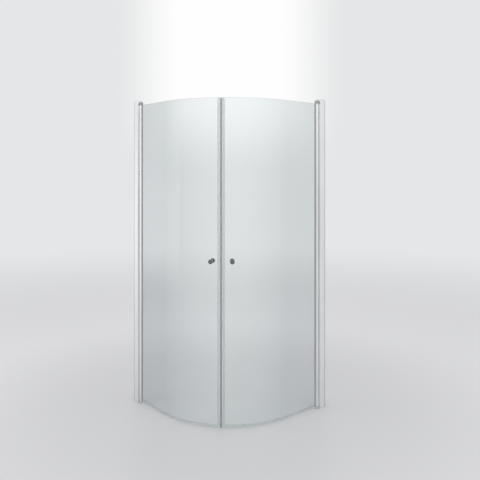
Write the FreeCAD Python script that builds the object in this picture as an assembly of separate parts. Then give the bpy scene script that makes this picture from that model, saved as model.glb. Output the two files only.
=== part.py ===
import FreeCAD, Part
import os
from math import acos, atan2, cos, degrees, hypot, pi, sin

from FreeCAD import Rotation, Vector

# Quadrant shower enclosure: two curved glass doors that pivot on aluminium wall profiles and meet
# at a magnetic seam. Millimetres, +Z up. The origin is on the floor, at the centre of the square
# footprint. The left door hangs on the wall at the low X side and the right door on the wall at
# the high Y side. Everything is drawn for the left door and mirrored about the diagonal plane.
#
# A profile's section is drawn in u, the distance from the wall along the glass, and v, the distance
# from the middle of the glass, positive towards the outside of the enclosure.

# Overall
width = 900.0                # wall to the outer face of the wall profiles, both ways
height = 2000.0              # floor to the top of the profile caps
corner_radius = 550.0        # rounded front, at the line of the profiles' outer faces
profile_width = 40.0         # wall profiles, across the glass
glass_thickness = 6.0
glass_arris = 0.6            # ground edges of the glass
floor_gap = 12.0             # floor to the glass
head_gap = 29.0              # glass to the top of the profile caps
floor_clearance = 1.5        # floor to the lowest moving piece and to the bottom bearing

# Wall channel, screwed to the wall
channel_wall = 2.0
channel_depth = 30.0
wall_hole_diameter = 6.5
wall_hole_count = 4
wall_hole_end = 99.0         # end of the channel to the first hole

# Post, slid over the wall channel to take up a wall that is out of plumb
post_reveal = 12.0           # wall to the rear edge of the post
post_wall = 1.8
post_rounding = 1.2          # upright outer edges
post_web = 4.0               # front web, which holds the round seat for the door rail
chamber_depth = 12.9         # space in the post for the bearing blocks
slide_clearance = 0.2
adjustment_play = 1.8        # front of the wall channel to the web behind the chamber

# Cap on the post
cap_plate = 2.0
cap_plug_depth = 8.0
plug_clearance = 0.2

# Hinge axis and door rail
axis_from_post = 9.5         # front of the post to the hinge axis
knuckle_radius = 10.0        # round back of the rail, about the hinge axis
knuckle_clearance = 0.6
rail_wall = 1.8
rail_reach = 14.0            # hinge axis to the front of the rail
pocket_depth = 7.0           # slot in the rail for the glass and its gasket
pocket_lip = 2.0             # wall beside the slot, at the front of the rail

# Pivots
pin_diameter = 6.0
pin_running_clearance = 0.08
pin_seat_clearance = 0.05
pin_engagement = 18.0        # length of the pin inside the rail
pin_head_diameter = 10.0
pin_head_height = 2.0
pin_end_play = 1.0
socket_body = 26.0           # plug that holds the bore, inside the rail
socket_clearance = 0.1
socket_flange = 1.2          # plate of the socket that closes the end of the rail
washer_diameter = 14.0
washer_thickness = 1.0
running_gap = 0.3            # between the thrust washer and the door
lift_gap = 0.8               # between the door and the top bearing
bearing_width = 17.0
bearing_reach = 18.0         # hinge axis to the tip of the bearing arm
bearing_plug = 30.0          # height of the block inside the post

# Screws
screw_diameter = 3.5
screw_head_diameter = 7.0
screw_head_height = 2.2
screw_clearance = 0.06
screw_socket_diameter = 2.6
screw_socket_depth = 1.2
bearing_screw_length = 14.0
bearing_screw_pitch = 14.0   # between the two screws of a bearing block
lock_screw_length = 9.0
lock_screw_count = 3
lock_screw_end = 149.0       # end of the post to the first locking screw
lock_screw_inset = 8.0       # rear edge of the post to the screw

# Glazing gasket
gasket_thickness = 2.0
gasket_web = 1.6
gasket_lip = 8.0             # part of the gasket that shows in front of the rail
gasket_lip_edge = 0.8        # thickness at the end of the lip
fit_clearance = 0.05

# Hinge seal, between the post and the door rail on the inside
hinge_seal_offset = 8.6      # middle of the seal to the glass plane
hinge_seal_width = 2.0
hinge_seal_foot_width = 4.4
hinge_seal_foot_depth = 1.2
hinge_seal_cover = 1.2       # metal in front of the foot
hinge_seal_gap = 0.4         # seal to the round back of the rail

# Magnetic seal at the free edge of each door
seam_gap = 0.6               # between the two seals with the doors shut
seal_tube_depth = 8.0
seal_tube_width = 10.0
seal_wall = 1.0
seal_leg_left = 19.0
seal_leg_right = 11.0
seal_bottom = 3.0
magnet_clearance = 0.1
magnet_end = 4.0             # end of the seal to the end of the magnet

# Sweep seal under the glass
sweep_start = 1.0            # end of the gasket to the start of the sweep seal
sweep_wall = 1.0
sweep_leg = 12.0             # height of the clip on the glass
sweep_web = 1.4
sweep_fin = 1.0
drip_reach = 4.0
drip_thickness = 1.0
seal_joint = 0.3             # sweep seal to magnetic seal

# Knobs
knob_height = 995.0          # floor to the middle of the knobs
knob_from_seam = 62.0
knob_diameter = 28.0
knob_length = 30.0           # washer to the top of the knob's face
knob_grip = 14.0             # length of the wide part
knob_neck_diameter = 14.0
knob_rounding = 2.0
knob_crown = 1.6             # rise of the face towards its middle
knob_stud_diameter = 6.0
knob_stud_depth = 12.0       # length of the stud in each knob
knob_hole_diameter = 12.0    # hole in the glass
knob_washer_diameter = 18.0
knob_washer_thickness = 1.0

# Places that follow from these
glass_plane = width / 2 - profile_width / 2
glass_radius = corner_radius - profile_width / 2
arc_start = width - corner_radius
arc_centre = Vector(arc_start - width / 2, width / 2 - arc_start, 0)
seam_angle = -pi / 4
half_glass = glass_thickness / 2
half_profile = profile_width / 2
post_top = height - cap_plate
chamber_back = channel_depth + adjustment_play + post_wall
chamber_front = chamber_back + chamber_depth
post_front = chamber_front + post_web
half_chamber = half_profile - post_wall
half_channel = half_chamber - slide_clearance
axis_u = post_front + axis_from_post
seat_radius = knuckle_radius + knuckle_clearance
rail_front = axis_u + rail_reach
half_pocket = half_glass + gasket_thickness
half_rail_front = half_pocket + pocket_lip
pocket_back = rail_front - pocket_depth
glass_edge = pocket_back + fit_clearance + gasket_web + fit_clearance
gasket_end = rail_front + gasket_lip
door_bottom = floor_gap
door_top = height - head_gap
bottom_arm_top = door_bottom - socket_flange - running_gap - washer_thickness
top_arm_bottom = door_top + socket_flange + lift_gap
top_arm_top = post_top - cap_plug_depth
half_bearing = bearing_width / 2
tube_back = seam_gap / 2 + seal_tube_depth
glass_end = tube_back + fit_clearance
bottom_block_low = floor_clearance
lock_screw_u = post_reveal + lock_screw_inset
bearing_screw_u = (chamber_back + chamber_front) / 2
screw_hole_radius = screw_diameter / 2 + screw_clearance
knob_foot = half_glass + knob_washer_thickness


def at(u, v, z=0.0):
    return Vector(u - width / 2, -glass_plane - v, z)


def prism(points, bottom, top):
    """Vertical bar with a section of (u, v) points."""
    corners = [at(u, v, bottom) for u, v in points]
    face = Part.Face(Part.makePolygon(corners + corners[:1]))
    return face.extrude(Vector(0, 0, top - bottom))


def slab(u_low, u_high, v_low, v_high, bottom, top):
    return prism([(u_low, v_low), (u_high, v_low), (u_high, v_high), (u_low, v_high)], bottom, top)


def post_outline(bottom, top):
    """Solid bar of the post's outer shape, with its upright edges rounded."""
    bar = slab(post_reveal, post_front, -half_profile, half_profile, bottom, top)
    upright_edges = [edge for edge in bar.Edges if abs(edge.tangentAt(edge.FirstParameter).z) > 0.5]
    return bar.makeFillet(post_rounding, upright_edges)


def upright(u, v, radius, bottom, top):
    """Upright round bar."""
    return Part.makeCylinder(radius, top - bottom, at(u, v, bottom))


def cross_bar(u, v_low, v_high, z, radius):
    """Round bar across the glass plane."""
    return Part.makeCylinder(radius, v_high - v_low, at(u, v_low, z), Vector(0, -1, 0))


def on_arc(radius, back, z=0.0):
    """Point at a distance back from the seam, measured along the middle of the glass."""
    angle = seam_angle - back / glass_radius
    return arc_centre + Vector(radius * cos(angle), radius * sin(angle), z)


def ring_bar(v_low, v_high, back_low, back_high, bottom, top):
    """Upright bar that follows the curve of the glass."""
    backs = (back_low, (back_low + back_high) / 2, back_high)
    inner_low, inner_middle, inner_high = [on_arc(glass_radius + v_low, back, bottom) for back in backs]
    outer_low, outer_middle, outer_high = [on_arc(glass_radius + v_high, back, bottom) for back in backs]
    edges = [
        Part.Arc(inner_low, inner_middle, inner_high).toShape(),
        Part.makeLine(inner_high, outer_high),
        Part.Arc(outer_high, outer_middle, outer_low).toShape(),
        Part.makeLine(outer_low, inner_low),
    ]
    return Part.Face(Part.Wire(edges)).extrude(Vector(0, 0, top - bottom))


def along_door(section, start_u, stop_back):
    """Section of (v, z) points run along the straight part of the door and round its curve."""
    corners = [at(arc_start, v, z) for v, z in section]
    face = Part.Face(Part.makePolygon(corners + corners[:1]))
    straight = face.extrude(Vector(start_u - arc_start, 0, 0))
    bend_angle = degrees(pi / 4 - stop_back / glass_radius)
    bend = face.revolve(arc_centre, Vector(0, 0, 1), bend_angle)
    return straight.fuse(bend).removeSplitter()


def at_knob(shape):
    """Puts a shape drawn along Z, with the middle of the glass at its origin, where the knob is."""
    base = on_arc(glass_radius, knob_from_seam, knob_height)
    outward = on_arc(glass_radius + 1, knob_from_seam, knob_height) - base
    seat = FreeCAD.Placement(base, Rotation(Vector(0, 0, 1), outward))
    placed = shape.copy()
    placed.Placement = seat.multiply(shape.Placement)
    return placed


def spaced(count, low, high):
    """Heights of an even row of holes, from its lowest to its highest."""
    return [low + (high - low) * i / (count - 1) for i in range(count)]


def pair(middle, pitch):
    return [middle - pitch / 2, middle + pitch / 2]


def screw(length):
    """Pan head screw along Z, with the underside of its head at the origin."""
    head = Part.makeCylinder(screw_head_diameter / 2, screw_head_height)
    rims = [edge for edge in head.Edges if len(edge.Vertexes) == 1]
    upper_rims = [edge for edge in rims if edge.CenterOfMass.z > screw_head_height / 2]
    head = head.makeFillet(screw_head_height / 3, upper_rims)
    socket_base = Vector(0, 0, screw_head_height - screw_socket_depth)
    socket = Part.makeCylinder(screw_socket_diameter / 2, screw_socket_depth, socket_base)
    shank = Part.makeCylinder(screw_diameter / 2, length, Vector(0, 0, -length))
    return head.cut(socket).fuse(shank)


def inner_screw(u, z, length):
    """Screw driven from inside the enclosure through the inner leg of the post."""
    placed = screw(length)
    placed.Placement = FreeCAD.Placement(at(u, -half_profile, z), Rotation(Vector(0, 0, 1), Vector(0, 1, 0)))
    return placed


wall_hole_heights = spaced(wall_hole_count, wall_hole_end, post_top - wall_hole_end)
lock_screw_heights = spaced(lock_screw_count, lock_screw_end, post_top - lock_screw_end)
bottom_screw_heights = pair(bottom_block_low + bearing_plug / 2, bearing_screw_pitch)
top_screw_heights = pair(top_arm_top - bearing_plug / 2, bearing_screw_pitch)
bearing_screw_heights = bottom_screw_heights + top_screw_heights


def wall_channel():
    outer = slab(0, channel_depth, -half_channel, half_channel, 0, post_top)
    inside = half_channel - channel_wall
    channel = outer.cut(slab(channel_wall, channel_depth, -inside, inside, 0, post_top))
    for z in wall_hole_heights:
        hole = Part.makeCylinder(wall_hole_diameter / 2, channel_wall, at(0, 0, z), Vector(1, 0, 0))
        channel = channel.cut(hole)
    for z in lock_screw_heights:
        channel = channel.cut(cross_bar(lock_screw_u, -half_channel, -inside, z, screw_hole_radius))
    return channel


def post():
    body = post_outline(0, post_top)
    sleeve_end = chamber_back - post_wall
    body = body.cut(slab(post_reveal, sleeve_end, -half_chamber, half_chamber, 0, post_top))
    body = body.cut(slab(chamber_back, chamber_front, -half_chamber, half_chamber, 0, post_top))
    body = body.cut(upright(axis_u, 0, seat_radius, 0, post_top))
    middle = -hinge_seal_offset
    half_slot = hinge_seal_width / 2 + fit_clearance
    half_foot = hinge_seal_foot_width / 2 + fit_clearance
    foot_front = post_front - hinge_seal_cover
    foot_back = foot_front - hinge_seal_foot_depth - 2 * fit_clearance
    body = body.cut(slab(foot_back, post_front, middle - half_slot, middle + half_slot, 0, post_top))
    body = body.cut(slab(foot_back, foot_front, middle - half_foot, middle + half_foot, 0, post_top))
    notch = half_bearing + plug_clearance
    body = body.cut(slab(chamber_front, post_front, -notch, notch, 0, bottom_arm_top + plug_clearance))
    body = body.cut(slab(chamber_front, post_front, -notch, notch, top_arm_bottom - plug_clearance, post_top))
    for z in lock_screw_heights:
        body = body.cut(cross_bar(lock_screw_u, -half_profile, -half_chamber, z, screw_hole_radius))
    for z in bearing_screw_heights:
        body = body.cut(cross_bar(bearing_screw_u, -half_profile, -half_chamber, z, screw_hole_radius))
    return body


def post_cap():
    plate = post_outline(post_top, height)
    inside = half_chamber - plug_clearance
    back = chamber_back + plug_clearance
    plug = slab(back, chamber_front - plug_clearance, -inside, inside, top_arm_top, post_top)
    tongue = slab(back, post_front, -half_bearing, half_bearing, top_arm_top, post_top)
    cap = plate.fuse(plug).fuse(tongue)
    return cap.cut(upright(axis_u, 0, seat_radius, top_arm_top, height)).removeSplitter()


def bearing_arm(bottom, top):
    tip = upright(axis_u + bearing_reach - half_bearing, 0, half_bearing, bottom, top)
    stem = slab(chamber_back + plug_clearance, axis_u + bearing_reach - half_bearing,
                -half_bearing, half_bearing, bottom, top)
    return stem.fuse(tip)


def bearing_block(plug_low, arm_low, arm_high, screw_heights):
    inside = half_chamber - plug_clearance
    back = chamber_back + plug_clearance
    front = chamber_front - plug_clearance
    plug = slab(back, front, -inside, inside, plug_low, plug_low + bearing_plug)
    block = plug.fuse(bearing_arm(arm_low, arm_high)).removeSplitter()
    block = block.cut(upright(axis_u, 0, pin_diameter / 2 + pin_seat_clearance, arm_low, arm_high))
    pilot_depth = bearing_screw_length - post_wall
    for z in screw_heights:
        pilot = cross_bar(bearing_screw_u, -half_chamber, -half_chamber + pilot_depth, z, screw_hole_radius)
        block = block.cut(pilot)
    return block


def bottom_bearing():
    block = bearing_block(bottom_block_low, bottom_block_low, bottom_arm_top, bottom_screw_heights)
    recess = pin_head_diameter / 2 + pin_seat_clearance
    return block.cut(upright(axis_u, 0, recess, bottom_block_low, bottom_block_low + pin_head_height))


def top_bearing():
    block = bearing_block(top_arm_top - bearing_plug, top_arm_bottom, top_arm_top, top_screw_heights)
    recess = pin_head_diameter / 2 + pin_seat_clearance
    return block.cut(upright(axis_u, 0, recess, top_arm_top - pin_head_height, top_arm_top))


def bottom_pin():
    head = upright(axis_u, 0, pin_head_diameter / 2, bottom_block_low, bottom_block_low + pin_head_height)
    shank = upright(axis_u, 0, pin_diameter / 2, bottom_block_low, door_bottom + pin_engagement)
    return head.fuse(shank).removeSplitter()


def top_pin():
    head = upright(axis_u, 0, pin_head_diameter / 2, top_arm_top - pin_head_height, top_arm_top)
    shank = upright(axis_u, 0, pin_diameter / 2, door_top - pin_engagement, top_arm_top)
    return head.fuse(shank).removeSplitter()


def thrust_washer():
    top = bottom_arm_top + washer_thickness
    ring = upright(axis_u, 0, washer_diameter / 2, bottom_arm_top, top)
    return ring.cut(upright(axis_u, 0, pin_diameter / 2 + pin_seat_clearance, bottom_arm_top, top))


def hinge_seal():
    """Strip with a foot in the slot of the post and an edge close to the back of the rail."""
    middle = -hinge_seal_offset
    half_lip = hinge_seal_width / 2
    half_foot = hinge_seal_foot_width / 2
    foot_front = post_front - hinge_seal_cover - fit_clearance
    foot_back = foot_front - hinge_seal_foot_depth
    bottom = bottom_arm_top + plug_clearance
    top = top_arm_bottom - plug_clearance
    foot = slab(foot_back, foot_front, middle - half_foot, middle + half_foot, bottom, top)
    lip = slab(foot_back, axis_u, middle - half_lip, middle + half_lip, bottom, top)
    lip = lip.cut(upright(axis_u, 0, knuckle_radius + hinge_seal_gap, bottom, top))
    return foot.fuse(lip).removeSplitter()


def rail_outline(shrink, bottom, top):
    """Round back that runs into flat flanks, as a solid bar."""
    radius = knuckle_radius - shrink
    front = half_rail_front - shrink
    reach = rail_reach - shrink
    tangent = atan2(front, reach) + acos(radius / hypot(front, reach))
    touch_u = axis_u + radius * cos(tangent)
    touch_v = radius * sin(tangent)
    flanks = [(touch_u, -touch_v), (axis_u + reach, -front), (axis_u + reach, front), (touch_u, touch_v)]
    return prism(flanks, bottom, top).fuse(upright(axis_u, 0, radius, bottom, top)).removeSplitter()


def rail_chamber(shrink, bottom, top):
    """Space behind the slot of the rail, with its flat wall towards the glass."""
    radius = knuckle_radius - rail_wall - shrink
    bar = upright(axis_u, 0, radius, bottom, top)
    flat = pocket_back - rail_wall - shrink
    return bar.cut(slab(flat, axis_u + knuckle_radius, -knuckle_radius, knuckle_radius, bottom, top))


def door_rail():
    rail = rail_outline(0, door_bottom, door_top)
    rail = rail.cut(rail_chamber(0, door_bottom, door_top))
    return rail.cut(slab(pocket_back, rail_front, -half_pocket, half_pocket, door_bottom, door_top))


def bottom_socket():
    body = rail_chamber(socket_clearance, door_bottom, door_bottom + socket_body)
    flange = rail_outline(socket_clearance, door_bottom - socket_flange, door_bottom)
    bore_top = door_bottom + pin_engagement + pin_end_play
    bore = upright(axis_u, 0, pin_diameter / 2 + pin_running_clearance, door_bottom - socket_flange, bore_top)
    return body.fuse(flange).cut(bore)


def top_socket():
    body = rail_chamber(socket_clearance, door_top - socket_body, door_top)
    flange = rail_outline(socket_clearance, door_top, door_top + socket_flange)
    bore_bottom = door_top - pin_engagement - pin_end_play
    bore = upright(axis_u, 0, pin_diameter / 2 + pin_running_clearance, bore_bottom, door_top + socket_flange)
    return body.fuse(flange).cut(bore)


def glazing_gasket():
    """Channel round the edge of the glass, with lips that lie on it in front of the rail."""
    back = pocket_back + fit_clearance
    side = half_pocket - fit_clearance
    inside = half_glass + fit_clearance
    lip = inside + gasket_lip_edge
    slot = glass_edge - fit_clearance
    section = [
        (back, -side),
        (rail_front, -side),
        (gasket_end, -lip),
        (gasket_end, -inside),
        (slot, -inside),
        (slot, inside),
        (gasket_end, inside),
        (gasket_end, lip),
        (rail_front, side),
        (back, side),
    ]
    return prism(section, door_bottom, door_top)


def door_glass():
    low, high, edge = door_bottom, door_top, glass_arris
    section = [
        (-half_glass, low + edge),
        (-half_glass + edge, low),
        (half_glass - edge, low),
        (half_glass, low + edge),
        (half_glass, high - edge),
        (half_glass - edge, high),
        (-half_glass + edge, high),
        (-half_glass, high - edge),
    ]
    pane = along_door(section, glass_edge, glass_end)
    hole = Part.makeCylinder(knob_hole_diameter / 2, 2 * glass_thickness, Vector(0, 0, -glass_thickness))
    return pane.cut(at_knob(hole))


def seal_cavity(clearance, bottom, top):
    half_cavity = seal_tube_width / 2 - seal_wall - clearance
    start = seam_gap / 2 + seal_wall + clearance
    return ring_bar(-half_cavity, half_cavity, start, tube_back - seal_wall - clearance, bottom, top)


def magnet_seal(leg):
    """Tube for the magnet, with two legs that clip on the glass."""
    half_tube = seal_tube_width / 2
    clip_inside = half_glass + fit_clearance
    clip_outside = clip_inside + seal_wall
    tube = ring_bar(-half_tube, half_tube, seam_gap / 2, tube_back, seal_bottom, door_top)
    outer_leg = ring_bar(clip_inside, clip_outside, tube_back, tube_back + leg, seal_bottom, door_top)
    inner_leg = ring_bar(-clip_outside, -clip_inside, tube_back, tube_back + leg, seal_bottom, door_top)
    tube = tube.cut(seal_cavity(0, seal_bottom, door_top))
    return tube.fuse(outer_leg).fuse(inner_leg).removeSplitter()


def magnet_bar():
    return seal_cavity(magnet_clearance, seal_bottom + magnet_end, door_top - magnet_end)


def sweep_seal(leg):
    """Clip under the glass, with a fin over the floor and a lip that leads drips inwards."""
    clip_inside = half_glass + fit_clearance
    clip_outside = clip_inside + sweep_wall
    clip_top = door_bottom + sweep_leg
    web_top = door_bottom - fit_clearance
    web_bottom = web_top - sweep_web
    drip = clip_outside + drip_reach
    section = [
        (clip_outside, web_bottom),
        (clip_outside, clip_top),
        (clip_inside, clip_top),
        (clip_inside, web_top),
        (-clip_inside, web_top),
        (-clip_inside, clip_top),
        (-clip_outside, clip_top),
        (-clip_outside, web_bottom),
        (-drip, floor_clearance + 2 * drip_thickness),
        (-drip + drip_thickness, floor_clearance + drip_thickness),
        (-clip_outside + drip_thickness, web_bottom),
        (-sweep_fin / 2, web_bottom),
        (-sweep_fin / 2, floor_clearance),
        (sweep_fin / 2, floor_clearance),
        (sweep_fin / 2, web_bottom),
    ]
    return along_door(section, gasket_end + sweep_start, tube_back + leg + seal_joint)


def knob():
    """Knob along Z, with its foot at the origin."""
    grip = Part.makeCylinder(knob_diameter / 2, knob_grip, Vector(0, 0, knob_length - knob_grip))
    crown_radius = (knob_diameter ** 2 / 4 + knob_crown ** 2) / (2 * knob_crown)
    grip = grip.common(Part.makeSphere(crown_radius, Vector(0, 0, knob_length - crown_radius)))
    rims = [edge for edge in grip.Edges if len(edge.Vertexes) == 1 and edge.Length > 3 * knob_diameter]
    grip = grip.makeFillet(knob_rounding, rims)
    neck = Part.makeCylinder(knob_neck_diameter / 2, knob_length - knob_grip + knob_rounding)
    thread = Part.makeCylinder(knob_stud_diameter / 2 + fit_clearance, knob_stud_depth + fit_clearance)
    return grip.fuse(neck).cut(thread)


def outer_knob():
    shape = knob()
    shape.translate(Vector(0, 0, knob_foot))
    return at_knob(shape)


def inner_knob():
    shape = knob()
    shape.translate(Vector(0, 0, knob_foot))
    shape.rotate(Vector(0, 0, 0), Vector(1, 0, 0), 180)
    return at_knob(shape)


def knob_stud():
    half_length = knob_foot + knob_stud_depth
    return at_knob(Part.makeCylinder(knob_stud_diameter / 2, 2 * half_length, Vector(0, 0, -half_length)))


def knob_sleeve():
    """Bush round the stud in the hole of the glass, just short of both faces."""
    half_length = half_glass - fit_clearance
    base = Vector(0, 0, -half_length)
    outside = Part.makeCylinder(knob_hole_diameter / 2 - fit_clearance, 2 * half_length, base)
    bore = Part.makeCylinder(knob_stud_diameter / 2 + fit_clearance, 2 * half_length, base)
    return at_knob(outside.cut(bore))


def knob_washers():
    """Soft washers that take the curve of the glass, one on each side of it."""
    base = Vector(0, 0, -knob_foot)
    disc = Part.makeCylinder(knob_washer_diameter / 2, 2 * knob_foot, base)
    hole = Part.makeCylinder(knob_stud_diameter / 2 + fit_clearance, 2 * knob_foot, base)
    reach = knob_washer_diameter
    glass = ring_bar(-half_glass, half_glass, knob_from_seam - reach, knob_from_seam + reach,
                     knob_height - reach, knob_height + reach)
    return at_knob(disc.cut(hole)).cut(glass)


def side(leg):
    """The sub-parts of one half of the enclosure, by name."""
    return {
        "wall_channel": wall_channel(),
        "post": post(),
        "post_cap": post_cap(),
        "lock_screws": Part.makeCompound(
            [inner_screw(lock_screw_u, z, lock_screw_length) for z in lock_screw_heights]),
        "bearing_screws": Part.makeCompound(
            [inner_screw(bearing_screw_u, z, bearing_screw_length) for z in bearing_screw_heights]),
        "top_bearing": top_bearing(),
        "bottom_bearing": bottom_bearing(),
        "top_pivot_pin": top_pin(),
        "bottom_pivot_pin": bottom_pin(),
        "thrust_washer": thrust_washer(),
        "hinge_seal": hinge_seal(),
        "door_rail": door_rail(),
        "top_pivot_socket": top_socket(),
        "bottom_pivot_socket": bottom_socket(),
        "glazing_gasket": glazing_gasket(),
        "door_glass": door_glass(),
        "magnet_seal": magnet_seal(leg),
        "magnet_bar": magnet_bar(),
        "sweep_seal": sweep_seal(leg),
        "outer_knob": outer_knob(),
        "inner_knob": inner_knob(),
        "knob_stud": knob_stud(),
        "knob_sleeve": knob_sleeve(),
        "knob_washers": knob_washers(),
    }


os.makedirs("parts", exist_ok=True)
for name, shape in side(seal_leg_left).items():
    shape.exportStep("parts/left_" + name + ".step")
for name, shape in side(seal_leg_right).items():
    mirrored = shape.mirror(Vector(0, 0, 0), Vector(1, 1, 0))
    mirrored.exportStep("parts/right_" + name + ".step")
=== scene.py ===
import math

import bmesh
import bpy
from mathutils import Matrix, Vector


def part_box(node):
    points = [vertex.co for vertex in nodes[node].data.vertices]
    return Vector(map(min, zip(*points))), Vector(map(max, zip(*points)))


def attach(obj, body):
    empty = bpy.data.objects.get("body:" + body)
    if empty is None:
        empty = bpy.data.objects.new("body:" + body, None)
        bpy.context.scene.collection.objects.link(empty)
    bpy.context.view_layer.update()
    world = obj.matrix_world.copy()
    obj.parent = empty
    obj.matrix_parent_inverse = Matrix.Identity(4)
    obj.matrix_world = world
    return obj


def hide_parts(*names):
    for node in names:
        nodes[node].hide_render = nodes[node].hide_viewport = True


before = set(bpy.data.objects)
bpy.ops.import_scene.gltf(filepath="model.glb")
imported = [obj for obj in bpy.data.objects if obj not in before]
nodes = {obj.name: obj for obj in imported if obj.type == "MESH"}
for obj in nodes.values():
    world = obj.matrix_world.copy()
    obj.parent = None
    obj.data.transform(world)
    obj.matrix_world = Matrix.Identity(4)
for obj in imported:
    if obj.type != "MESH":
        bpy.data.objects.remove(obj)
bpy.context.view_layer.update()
sides = ("left", "right")
mm = 0.001
grainLow, grainHigh = 0.3, 0.7         # where noise starts and stops changing a colour or a gloss
print("frame loaded:", len(nodes), "pieces")


def linear(hexColour):
    # sRGB hex to a linear colour
    parts = [int(hexColour[i:i + 2], 16) / 255 for i in (1, 3, 5)]
    lit = [c / 12.92 if c <= 0.04045 else ((c + 0.055) / 1.055) ** 2.4 for c in parts]
    return (*lit, 1.0)


def addNode(tree, kind, settings=None, links=None):
    # settings are inputs or the node's own properties, colours in hex; links join sockets to inputs
    node = tree.nodes.new("ShaderNode" + kind)
    for name, value in (settings or {}).items():
        if isinstance(value, str) and value.startswith("#"):
            value = linear(value)
        if isinstance(name, int) or name in node.inputs:
            node.inputs[name].default_value = value
        else:
            setattr(node, name, value)
    for name, socket in (links or {}).items():
        tree.links.new(socket, node.inputs[name])
    return node


def newMaterial(name):
    material = bpy.data.materials.new(name)
    material.use_nodes = True
    tree = material.node_tree
    tree.nodes.clear()
    coords = addNode(tree, "TexCoord").outputs["Object"]
    return material, tree, coords


def grainOf(tree, coords, size, detail=2.0):
    # noise whose features are size (x, y, z) in millimetres
    scale = tuple(1 / (length * mm) for length in size)
    place = addNode(tree, "Mapping", {"Scale": scale}, {"Vector": coords})
    noise = addNode(tree, "TexNoise", {"Scale": 1.0, "Detail": detail},
                    {"Vector": place.outputs["Vector"]})
    return noise.outputs["Fac"]


def grainedSurface(tree, settings, tint, gloss, relief):
    # tint, gloss and relief are each a grain and what it varies: two colours, two roughnesses, and
    # the strength and the depth in millimetres of a bump
    grain, (first, second) = tint
    spread = addNode(tree, "MapRange", {"From Min": grainLow, "From Max": grainHigh},
                     {"Value": grain})
    colour = addNode(tree, "Mix", {"data_type": "RGBA", 6: first, 7: second},
                     {"Factor": spread.outputs["Result"]})
    grain, (smooth, rough) = gloss
    roughness = addNode(tree, "MapRange", {
        "From Min": grainLow,
        "From Max": grainHigh,
        "To Min": smooth,
        "To Max": rough,
    }, {"Value": grain})
    grain, (strength, depth) = relief
    bump = addNode(tree, "Bump", {"Strength": strength, "Distance": depth * mm}, {"Height": grain})
    shader = addNode(tree, "BsdfPrincipled", settings, {
        "Base Color": colour.outputs[2],
        "Roughness": roughness.outputs["Result"],
        "Normal": bump.outputs["Normal"],
    })
    return shader.outputs["BSDF"]


def finishMaterial(tree, shader, lampTint=None):
    # a clear piece with a lampTint lets lamp and scattered light straight through, tinted
    if lampTint:
        path = addNode(tree, "LightPath")
        passing = addNode(tree, "Math", {"operation": "MAXIMUM"}, {
            0: path.outputs["Is Shadow Ray"],
            1: path.outputs["Is Diffuse Ray"],
        })
        clear = addNode(tree, "BsdfTransparent", {"Color": lampTint})
        mix = addNode(tree, "MixShader",
                      links={0: passing.outputs[0], 1: shader, 2: clear.outputs["BSDF"]})
        shader = mix.outputs[0]
    addNode(tree, "OutputMaterial", links={"Surface": shader})


def extrudedAluminium(name, colours, roughness):
    # extruded, then etched and clear anodised: even silver with a soft gloss and
    # faint die lines along the length; a darker copy is painted shade for a recess
    material, tree, coords = newMaterial(name)
    clouds = grainOf(tree, coords, (60, 60, 400))
    dieLines = grainOf(tree, coords, (0.9, 0.9, 700))      # drawn coarser than the real 0.1 mm
    shader = grainedSurface(tree, {"Metallic": 1.0}, (clouds, colours), (dieLines, roughness),
                            (dieLines, (0.12, 0.02)))
    finishMaterial(tree, shader)
    return material


def turnedMetal(name, colours, roughness):
    # turned and polished: tight reflections with a trace of polishing haze
    material, tree, coords = newMaterial(name)
    haze = grainOf(tree, coords, (5, 5, 5), detail=4.0)
    scratches = grainOf(tree, coords, (0.35, 0.35, 6))
    shader = grainedSurface(tree, {"Metallic": 1.0}, (haze, colours), (haze, roughness),
                            (scratches, (0.08, 0.01)))
    finishMaterial(tree, shader)
    return material


def softPvc(name, colours, cover):
    # extruded soft PVC: a milky film that half hides what is behind it, waxy gloss, flow lines
    material, tree, coords = newMaterial(name)
    flow = grainOf(tree, coords, (2.5, 2.5, 300))
    shader = grainedSurface(tree, {"IOR": 1.53, "Alpha": cover}, (flow, colours),
                            (flow, (0.28, 0.4)), (flow, (0.15, 0.03)))
    finishMaterial(tree, shader, lampTint="#F4F5F5")
    return material


def extrudedRubber(name, colours):
    # co-extruded elastomer: soft sheen, fine drag lines along the length
    material, tree, coords = newMaterial(name)
    drag = grainOf(tree, coords, (0.6, 0.6, 90))
    shader = grainedSurface(tree, {"IOR": 1.5}, (drag, colours), (drag, (0.42, 0.58)),
                            (drag, (0.3, 0.03)))
    finishMaterial(tree, shader)
    return material


def mouldedPlastic(name, colours, roughness):
    # moulded in a spark-eroded tool: fine even grain that breaks up the shine
    material, tree, coords = newMaterial(name)
    clouds = grainOf(tree, coords, (18, 18, 18))
    grain = grainOf(tree, coords, (0.7, 0.7, 0.7), detail=3.0)
    shader = grainedSurface(tree, {"IOR": 1.5}, (clouds, colours), (grain, roughness),
                            (grain, (0.25, 0.04)))
    finishMaterial(tree, shader)
    return material


glassLow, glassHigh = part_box("left_door_glass")
glass = {
    "face": "#F7FAFA",
    "faceDeep": "#F4F8F8",
    "obliquePaintedShade": "#919BA1",              # painted shade: a slanting path through the glass is longer, but this darkens it far more than that path would, so the glass darkens towards its sides
    "edge": "#C9DDD8",
    "edgeRoughness": 0.35,
    "edgeBand": 0.55 * mm,             # ground part of the height, above and below
    "lampTint": "#FAFCFC",
    "waves": (260, 260, 340),          # mm, roller waves of toughening
    "middle": (glassLow.z + glassHigh.z) / 2,
    "halfHeight": (glassHigh.z - glassLow.z) / 2,
}


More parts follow.
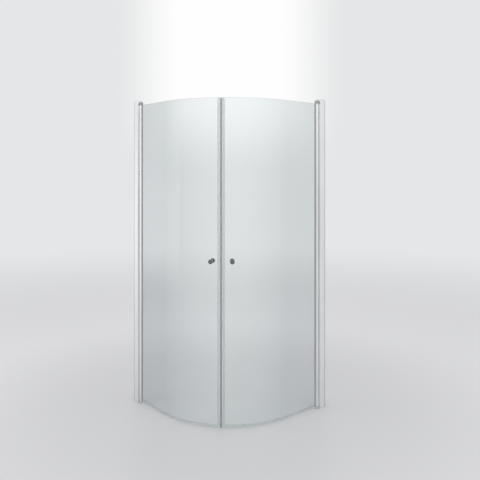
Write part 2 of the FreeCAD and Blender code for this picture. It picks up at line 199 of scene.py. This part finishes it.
def toughenedGlass(name, settings):
    # clear float glass, bent and toughened: faint cool tint, polished faces that wave a little, and
    # ground edges that look frosted
    material, tree, coords = newMaterial(name)
    height = addNode(tree, "SeparateXYZ", links={"Vector": coords})
    offset = addNode(tree, "Math", {"operation": "SUBTRACT", 1: settings["middle"]},
                     {0: height.outputs["Z"]})
    distance = addNode(tree, "Math", {"operation": "ABSOLUTE"}, {0: offset.outputs[0]})
    polished = settings["halfHeight"] - settings["edgeBand"]
    ground = addNode(tree, "Math", {"operation": "GREATER_THAN", 1: polished},
                     {0: distance.outputs[0]})
    waves = grainOf(tree, coords, settings["waves"], detail=0.0)
    spread = addNode(tree, "MapRange", {"From Min": grainLow, "From Max": grainHigh},
                     {"Value": waves})
    facing = addNode(tree, "LayerWeight", {"Blend": 0.5})
    face = addNode(tree, "Mix", {"data_type": "RGBA", 6: settings["face"], 7: settings["faceDeep"]},
                   {"Factor": spread.outputs["Result"]})
    # painted shade: the colour darkens towards grazing views, partly for the longer path through
    # the tint, mostly as shade laid into the glass
    paintedSlantShade = addNode(tree, "Mix", {"data_type": "RGBA", 7: settings["obliquePaintedShade"]},
                      {"Factor": facing.outputs["Facing"], 6: face.outputs[2]})
    colour = addNode(tree, "Mix", {"data_type": "RGBA", 7: settings["edge"]},
                     {"Factor": ground.outputs[0], 6: paintedSlantShade.outputs[2]})
    roughness = addNode(tree, "MapRange", {"To Max": settings["edgeRoughness"]},
                        {"Value": ground.outputs[0]})
    bump = addNode(tree, "Bump", {"Strength": 0.1, "Distance": 0.05 * mm}, {"Height": waves})
    shader = addNode(tree, "BsdfPrincipled", {"IOR": 1.52, "Transmission Weight": 1.0}, {
        "Base Color": colour.outputs[2],
        "Roughness": roughness.outputs["Result"],
        "Normal": bump.outputs["Normal"],
    })
    finishMaterial(tree, shader.outputs["BSDF"], settings["lampTint"])
    return material


anodised = extrudedAluminium("satin anodised aluminium", ("#F0F1F2", "#F6F7F7"), (0.36, 0.48))
# painted shade: the wall channel's aluminium is darker than the posts' to stand for the shade in
# the recess between wall and post
channelShadeAluminium = extrudedAluminium("aluminium darkened as recess shade", ("#D2D5D7", "#DCDEDF"), (0.38, 0.52))
knobMetal = turnedMetal("polished black nickel", ("#7E8184", "#6F7275"), (0.12, 0.2))
stainless = turnedMetal("turned stainless steel", ("#C4C3C0", "#B3B2AF"), (0.2, 0.32))
clearPvc = softPvc("soft clear PVC", ("#DDE1E3", "#D2D7DA"), 0.21)
lipPvc = softPvc("translucent seal PVC", ("#F1F3F3", "#E8EBEB"), 0.85)
gasketRubber = extrudedRubber("grey gasket elastomer", ("#B2B5B8", "#A4A7AA"))
darkMagnet = extrudedRubber("ferrite magnet strip", ("#2C2E30", "#242628"))
paleMagnet = extrudedRubber("white-jacketed magnet strip", ("#F0F2F3", "#E6E9EA"))
greyNylon = mouldedPlastic("moulded glass-filled nylon", ("#A6A9AC", "#9A9DA0"), (0.42, 0.6))
# painted light: the same nylon as the top bearing, made paler so that the bottom bearing stays
# light in the shade near the floor
paintedLightNylon = mouldedPlastic("moulded nylon painted lighter", ("#DADCDE", "#D0D2D4"), (0.4, 0.55))
acetal = mouldedPlastic("turned acetal", ("#E4E4E0", "#D8D8D4"), (0.3, 0.42))
capPlastic = mouldedPlastic("moulded ABS cap", ("#D2D4D6", "#C8CACC"), (0.35, 0.5))
paneGlass = toughenedGlass("toughened float glass", glass)

finishes = {
    # painted shade: darker aluminium for the shaded recess by the wall
    "wall_channel": channelShadeAluminium,
    "post": anodised,
    "post_cap": capPlastic,
    "lock_screws": stainless,
    "bearing_screws": stainless,
    "top_bearing": greyNylon,
    # painted light: the bottom bearing gets a paler copy of the bearing nylon, against the shade at
    # floor level
    "bottom_bearing": paintedLightNylon,
    "top_pivot_pin": stainless,
    "bottom_pivot_pin": stainless,
    "thrust_washer": acetal,
    "hinge_seal": lipPvc,
    "door_rail": anodised,
    "top_pivot_socket": greyNylon,
    "bottom_pivot_socket": greyNylon,
    "glazing_gasket": gasketRubber,
    "door_glass": paneGlass,
    "magnet_seal": clearPvc,
    "magnet_bar": darkMagnet,
    "sweep_seal": clearPvc,
    "outer_knob": knobMetal,
    "inner_knob": knobMetal,
    "knob_stud": stainless,
    "knob_sleeve": acetal,
    "knob_washers": lipPvc,
}
for side in sides:
    for part, material in finishes.items():
        piece = nodes[side + "_" + part]
        piece.data.materials.clear()
        piece.data.materials.append(material)
nodes["right_magnet_bar"].data.materials[0] = paleMagnet   # so that the seam shows one dark line
print("finishes on:", len(sides) * len(finishes), "pieces")


# pan head screws with a cross recess, on the inner faces of the posts
crossScrew = {
    "headRadius": 3.5 * mm,
    "rim": 1.3 * mm,                   # height of the head's edge
    "crown": 0.9 * mm,                 # rise of the head towards its middle
    "gridCells": 5,                    # across the top of the head
    "armHalf": 0.25,                   # half width of the recess, as a share of the head's radius
    "armReach": 0.65,                  # its half length, as a share of the head's radius
    "recessDepth": 1.2 * mm,
    "recessTaper": 0.55,
    "footHeight": 0.25,                # share of the rim where the head's foot draws in
    "footRadius": 0.96,                # share of the head's radius
    "shankRadius": 1.75 * mm,
    "pointRadius": 0.15,               # share of the head's radius
    "pointLength": 1.2 * mm,
    "softEdge": 0.12 * mm,
    "softSteps": 2,
    "firstTurn": 0.7,                  # radians: the recesses stop at odd angles, as driven
    "nextTurn": 1.9,
    "face": -410 * mm,                 # inner face of the left post
}
screwSets = {
    "lock_screws": {"x": -430.0 * mm, "heights": (149, 999, 1849), "length": 9 * mm},
    "bearing_screws": {"x": -409.95 * mm, "heights": (9.5, 23.5, 1968, 1982), "length": 14 * mm},
}
acrossDiagonal = Matrix(((0, -1, 0, 0), (-1, 0, 0, 0), (0, 0, 1, 0), (0, 0, 0, 1)))
sortAxis = Vector((0.8317, 0.4729, 1.3093))                # odd, so that no two faces tie along it


def vertsOf(items):
    return [item for item in items if isinstance(item, bmesh.types.BMVert)]


def crossScrewShape(bm, settings, length):
    # one screw along Z with the underside of its head at the origin
    radius = settings["headRadius"]
    rim = settings["rim"]
    cells = settings["gridCells"]
    top = bmesh.ops.create_grid(bm, x_segments=cells, y_segments=cells, size=radius)["verts"]
    for v in top:
        if v.is_boundary:
            v.co = v.co.normalized() * radius
    for v in top:
        v.co.z = rim + settings["crown"] * (1 - (v.co.to_2d().length / radius) ** 2)
    arm = radius * settings["armHalf"]
    reach = radius * settings["armReach"]
    cross = []
    for face in bm.faces:
        middle = face.calc_center_median()
        x, y = abs(middle.x), abs(middle.y)
        if min(x, y) < arm and max(x, y) < reach:
            cross.append(face)
    recessFloor = vertsOf(bmesh.ops.extrude_face_region(bm, geom=cross)["geom"])
    bmesh.ops.delete(bm, geom=cross, context="FACES")
    taper = settings["recessTaper"]
    bmesh.ops.scale(bm, verts=recessFloor, vec=(taper, taper, 1))
    bmesh.ops.translate(bm, verts=recessFloor, vec=(0, 0, -settings["recessDepth"]))
    shank = settings["shankRadius"] / radius
    rings = (
        (1.0, settings["footHeight"] * rim),
        (settings["footRadius"], 0.0),
        (shank, 0.0),
        (shank, -length),
        (settings["pointRadius"], -length - settings["pointLength"]),
    )
    loop = [edge for edge in bm.edges if edge.is_boundary]
    for ratio, z in rings:
        made = bmesh.ops.extrude_edge_only(bm, edges=loop)["geom"]
        for v in vertsOf(made):
            flat = v.co.to_2d().normalized() * radius * ratio
            v.co = (flat.x, flat.y, z)
        loop = [item for item in made if isinstance(item, bmesh.types.BMEdge) and item.is_boundary]
    bmesh.ops.contextual_create(bm, geom=loop)
    # edges and faces in a fixed order, so that every run gives the same mesh
    bm.edges.sort(key=lambda edge: (edge.verts[0].co + edge.verts[1].co) @ sortAxis)
    bm.faces.sort(key=lambda face: face.calc_center_median() @ sortAxis)


def buildScrews(part, layout, settings):
    bm = bmesh.new()
    crossScrewShape(bm, settings, layout["length"])
    turn = Matrix.Rotation(math.radians(-90), 3, "X")      # heads face +Y, into the enclosure
    bmesh.ops.rotate(bm, verts=bm.verts, matrix=turn)
    single = list(bm.verts) + list(bm.edges) + list(bm.faces)
    for count, z in enumerate(layout["heights"]):
        verts = vertsOf(bmesh.ops.duplicate(bm, geom=single)["geom"])
        driven = settings["firstTurn"] + settings["nextTurn"] * count
        bmesh.ops.rotate(bm, verts=verts, matrix=Matrix.Rotation(driven, 3, "Y"))
        bmesh.ops.translate(bm, verts=verts, vec=(layout["x"], settings["face"], z * mm))
    bmesh.ops.delete(bm, geom=vertsOf(single), context="VERTS")
    for side in sides:
        if side == "right":
            bmesh.ops.transform(bm, matrix=acrossDiagonal, verts=bm.verts)
        bmesh.ops.recalc_face_normals(bm, faces=bm.faces)
        name = side + "_cross_" + part
        mesh = bpy.data.meshes.new(name)
        bm.to_mesh(mesh)
        for edge in mesh.edges:        # the operators turn edges round at random
            edge.vertices = sorted(edge.vertices)
        mesh.materials.append(stainless)
        piece = bpy.data.objects.new(name, mesh)
        bpy.context.scene.collection.objects.link(piece)
        soften = piece.modifiers.new("soften", "BEVEL")
        soften.width = settings["softEdge"]
        soften.segments = settings["softSteps"]
        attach(piece, "wall_frames")
        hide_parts(side + "_" + part)
    bm.free()


for part, layout in screwSets.items():
    buildScrews(part, layout, crossScrew)
print("screws made:", ", ".join(screwSets))


studio = {
    "floorRadius": 16.0,
    "floorCorners": 96,
    "floorDrop": 0.5 * mm,             # keeps the floor clear of the profiles' ends
    "floorRoughness": 0.42,
    "floorGloss": 0.35,
    "nearFloor": "#CCCCCE",
    "farFloor": "#E0E0E2",
    "fadeStart": 0.75,                 # metres from the middle of the object, near to far floor
    "fadeEnd": 2.4,
    "glowStart": 1.6,                  # metres, floor to horizon colour
    "glowEnd": 9.0,
    "horizon": "#E5E6E7",
    "zenith": "#FEFEFE",
    "riseEnd": 0.13,                   # sine of the height at which the backdrop is brightest
    "poolHeading": 50.6,               # degrees from +Y towards -X: a pool of light behind the seam
    "poolCore": 4.5,                   # degrees to each side
    "poolEdge": 11.5,
    "skyLevel": 0.76,                  # light from all round
}


def visiblePath(tree):
    # 1 for rays that show the background: straight from the camera, mirrored, or through glass
    path = addNode(tree, "LightPath")
    shown = path.outputs["Is Camera Ray"]
    for ray in ("Is Glossy Ray", "Is Transmission Ray"):
        either = addNode(tree, "Math", {"operation": "MAXIMUM"}, {0: shown, 1: path.outputs[ray]})
        shown = either.outputs[0]
    return shown


def buildFloor(settings):
    mesh = bpy.data.meshes.new("studioFloor")
    bm = bmesh.new()
    bmesh.ops.create_circle(bm, cap_ends=True, radius=settings["floorRadius"],
                            segments=settings["floorCorners"])
    bmesh.ops.translate(bm, verts=bm.verts, vec=(0, 0, -settings["floorDrop"]))
    bm.to_mesh(mesh)
    bm.free()
    floor = bpy.data.objects.new("studioFloor", mesh)
    bpy.context.scene.collection.objects.link(floor)
    material, tree, coords = newMaterial("pale studio floor")
    distance = addNode(tree, "VectorMath", {"operation": "LENGTH"}, {0: coords})
    eased = {}
    for change in ("fade", "glow"):
        ranged = addNode(tree, "MapRange", {
            "interpolation_type": "SMOOTHSTEP",
            "From Min": settings[change + "Start"],
            "From Max": settings[change + "End"],
        }, {"Value": distance.outputs["Value"]})
        eased[change] = ranged.outputs["Result"]
    colour = addNode(tree, "Mix", {
        "data_type": "RGBA",
        6: settings["nearFloor"],
        7: settings["farFloor"],
    }, {"Factor": eased["fade"]})
    surface = addNode(tree, "BsdfPrincipled", {
        "Roughness": settings["floorRoughness"],
        "Specular IOR Level": settings["floorGloss"],
    }, {"Base Color": colour.outputs[2]})
    backdrop = addNode(tree, "Emission", {"Color": settings["horizon"]})
    share = addNode(tree, "Math", {"operation": "MULTIPLY"},
                    {0: eased["glow"], 1: visiblePath(tree)})
    mix = addNode(tree, "MixShader",
                  links={0: share.outputs[0], 1: surface.outputs[0], 2: backdrop.outputs[0]})
    finishMaterial(tree, mix.outputs[0])
    mesh.materials.append(material)


def buildWorld(settings):
    # seen: a plain backdrop that brightens upwards, in the pool alone; as light: even white
    world = bpy.data.worlds.new("studio")
    bpy.context.scene.world = world
    world.use_nodes = True
    tree = world.node_tree
    tree.nodes.clear()
    direction = addNode(tree, "TexCoord").outputs["Generated"]
    up = addNode(tree, "SeparateXYZ", links={"Vector": direction})
    rise = addNode(tree, "MapRange", {
        "interpolation_type": "SMOOTHSTEP",
        "From Min": 0.0,
        "From Max": settings["riseEnd"],
    }, {"Value": up.outputs["Z"]})
    turn = math.radians(settings["poolHeading"])
    aheadAxis = (-math.sin(turn), math.cos(turn), 0)
    asideAxis = (math.cos(turn), math.sin(turn), 0)
    ahead = addNode(tree, "VectorMath", {"operation": "DOT_PRODUCT", 1: aheadAxis}, {0: direction})
    aside = addNode(tree, "VectorMath", {"operation": "DOT_PRODUCT", 1: asideAxis}, {0: direction})
    angle = addNode(tree, "Math", {"operation": "ARCTAN2"},
                    {0: aside.outputs["Value"], 1: ahead.outputs["Value"]})
    offset = addNode(tree, "Math", {"operation": "ABSOLUTE"}, {0: angle.outputs[0]})
    pool = addNode(tree, "MapRange", {
        "interpolation_type": "SMOOTHSTEP",
        "From Min": math.radians(settings["poolEdge"]),
        "From Max": math.radians(settings["poolCore"]),
    }, {"Value": offset.outputs[0]})
    lit = addNode(tree, "Math", {"operation": "MULTIPLY"},
                  {0: rise.outputs["Result"], 1: pool.outputs["Result"]})
    colour = addNode(tree, "Mix", {
        "data_type": "RGBA",
        6: settings["horizon"],
        7: settings["zenith"],
    }, {"Factor": lit.outputs[0]})
    shown = addNode(tree, "Background", {"Strength": 1.0}, {"Color": colour.outputs[2]})
    lighting = addNode(tree, "Background", {"Color": "#FFFFFF", "Strength": settings["skyLevel"]})
    mix = addNode(tree, "MixShader",
                  links={0: visiblePath(tree), 1: lighting.outputs[0], 2: shown.outputs[0]})
    addNode(tree, "OutputWorld", links={"Surface": mix.outputs[0]})


softboxes = {
    "ceilingSoftbox": {
        "spot": (0.6, -0.6, 4.2),
        "target": (0.0, 0.0, 0.8),
        "size": (3.2, 3.2),
        "power": 40,
    },
    "leftSoftbox": {
        "spot": (-1.2, -3.2, 3.5),
        "target": (0.0, 0.0, 1.0),
        "size": (2.0, 1.6),
        "power": 12,
    },
    "rightSoftbox": {
        "spot": (3.2, 1.2, 3.5),
        "target": (0.0, 0.0, 1.0),
        "size": (2.0, 1.6),
        "power": 12,
    },
    "leftWindow": {                    # low and wide: the left door mirrors it as one faint band
        "spot": (-2.5, -2.9, 1.25),
        "target": (0.0, 0.0, 1.25),
        "size": (2.45, 2.4),
        "power": 9,
        "fades": (0.25, 0.55),         # shares of the height over which it dims, below and above
    },
}


def addSoftbox(name, spot, target, size, power, fades=None):
    lamp = bpy.data.lights.new(name, "AREA")
    lamp.shape = "RECTANGLE"
    lamp.size, lamp.size_y = size
    lamp.energy = power
    if fades:
        lamp.use_nodes = True
        tree = lamp.node_tree
        tree.nodes.clear()
        surface = addNode(tree, "NewGeometry")
        place = addNode(tree, "SeparateXYZ", links={0: surface.outputs["Parametric"]})
        below, above = fades
        levels = []
        for dark, lit in ((0.0, below), (1.0, 1.0 - above)):
            ranged = addNode(tree, "MapRange", {
                "interpolation_type": "SMOOTHSTEP",
                "From Min": dark,
                "From Max": lit,
            }, {"Value": place.outputs["Y"]})
            levels.append(ranged.outputs["Result"])
        level = addNode(tree, "Math", {"operation": "MULTIPLY"}, {0: levels[0], 1: levels[1]})
        glow = addNode(tree, "Emission", links={"Strength": level.outputs[0]})
        addNode(tree, "OutputLight", links={0: glow.outputs[0]})
    holder = bpy.data.objects.new(name, lamp)
    holder.location = spot
    aim = Vector(target) - Vector(spot)
    holder.rotation_euler = aim.to_track_quat("-Z", "Y").to_euler()
    holder.visible_camera = False
    bpy.context.scene.collection.objects.link(holder)


view = {
    "spot": (3.002, -2.452, 1.501),
    "heading": 49.45,                  # degrees from +Y towards -X, level
    "focalPixels": 586.06,
    "axisPixel": (241.80, 176.31),     # where the camera's axis meets the picture
    "imagePixels": 480,
    "sensor": 36.0,
}


def buildCamera(settings):
    pixels = settings["imagePixels"]
    axisX, axisY = settings["axisPixel"]
    data = bpy.data.cameras.new("camera")
    data.sensor_width = settings["sensor"]
    data.lens = settings["sensor"] * settings["focalPixels"] / pixels
    data.shift_x = (pixels / 2 - axisX) / pixels
    data.shift_y = (axisY - pixels / 2) / pixels
    camera = bpy.data.objects.new("camera", data)
    camera.location = settings["spot"]
    camera.rotation_euler = (math.radians(90), 0, math.radians(settings["heading"]))
    bpy.context.scene.collection.objects.link(camera)
    bpy.context.scene.camera = camera


buildFloor(studio)
buildWorld(studio)
for name, settings in softboxes.items():
    addSoftbox(name, **settings)
buildCamera(view)
bpy.context.scene.view_settings.view_transform = "Standard"
print("studio and camera set")
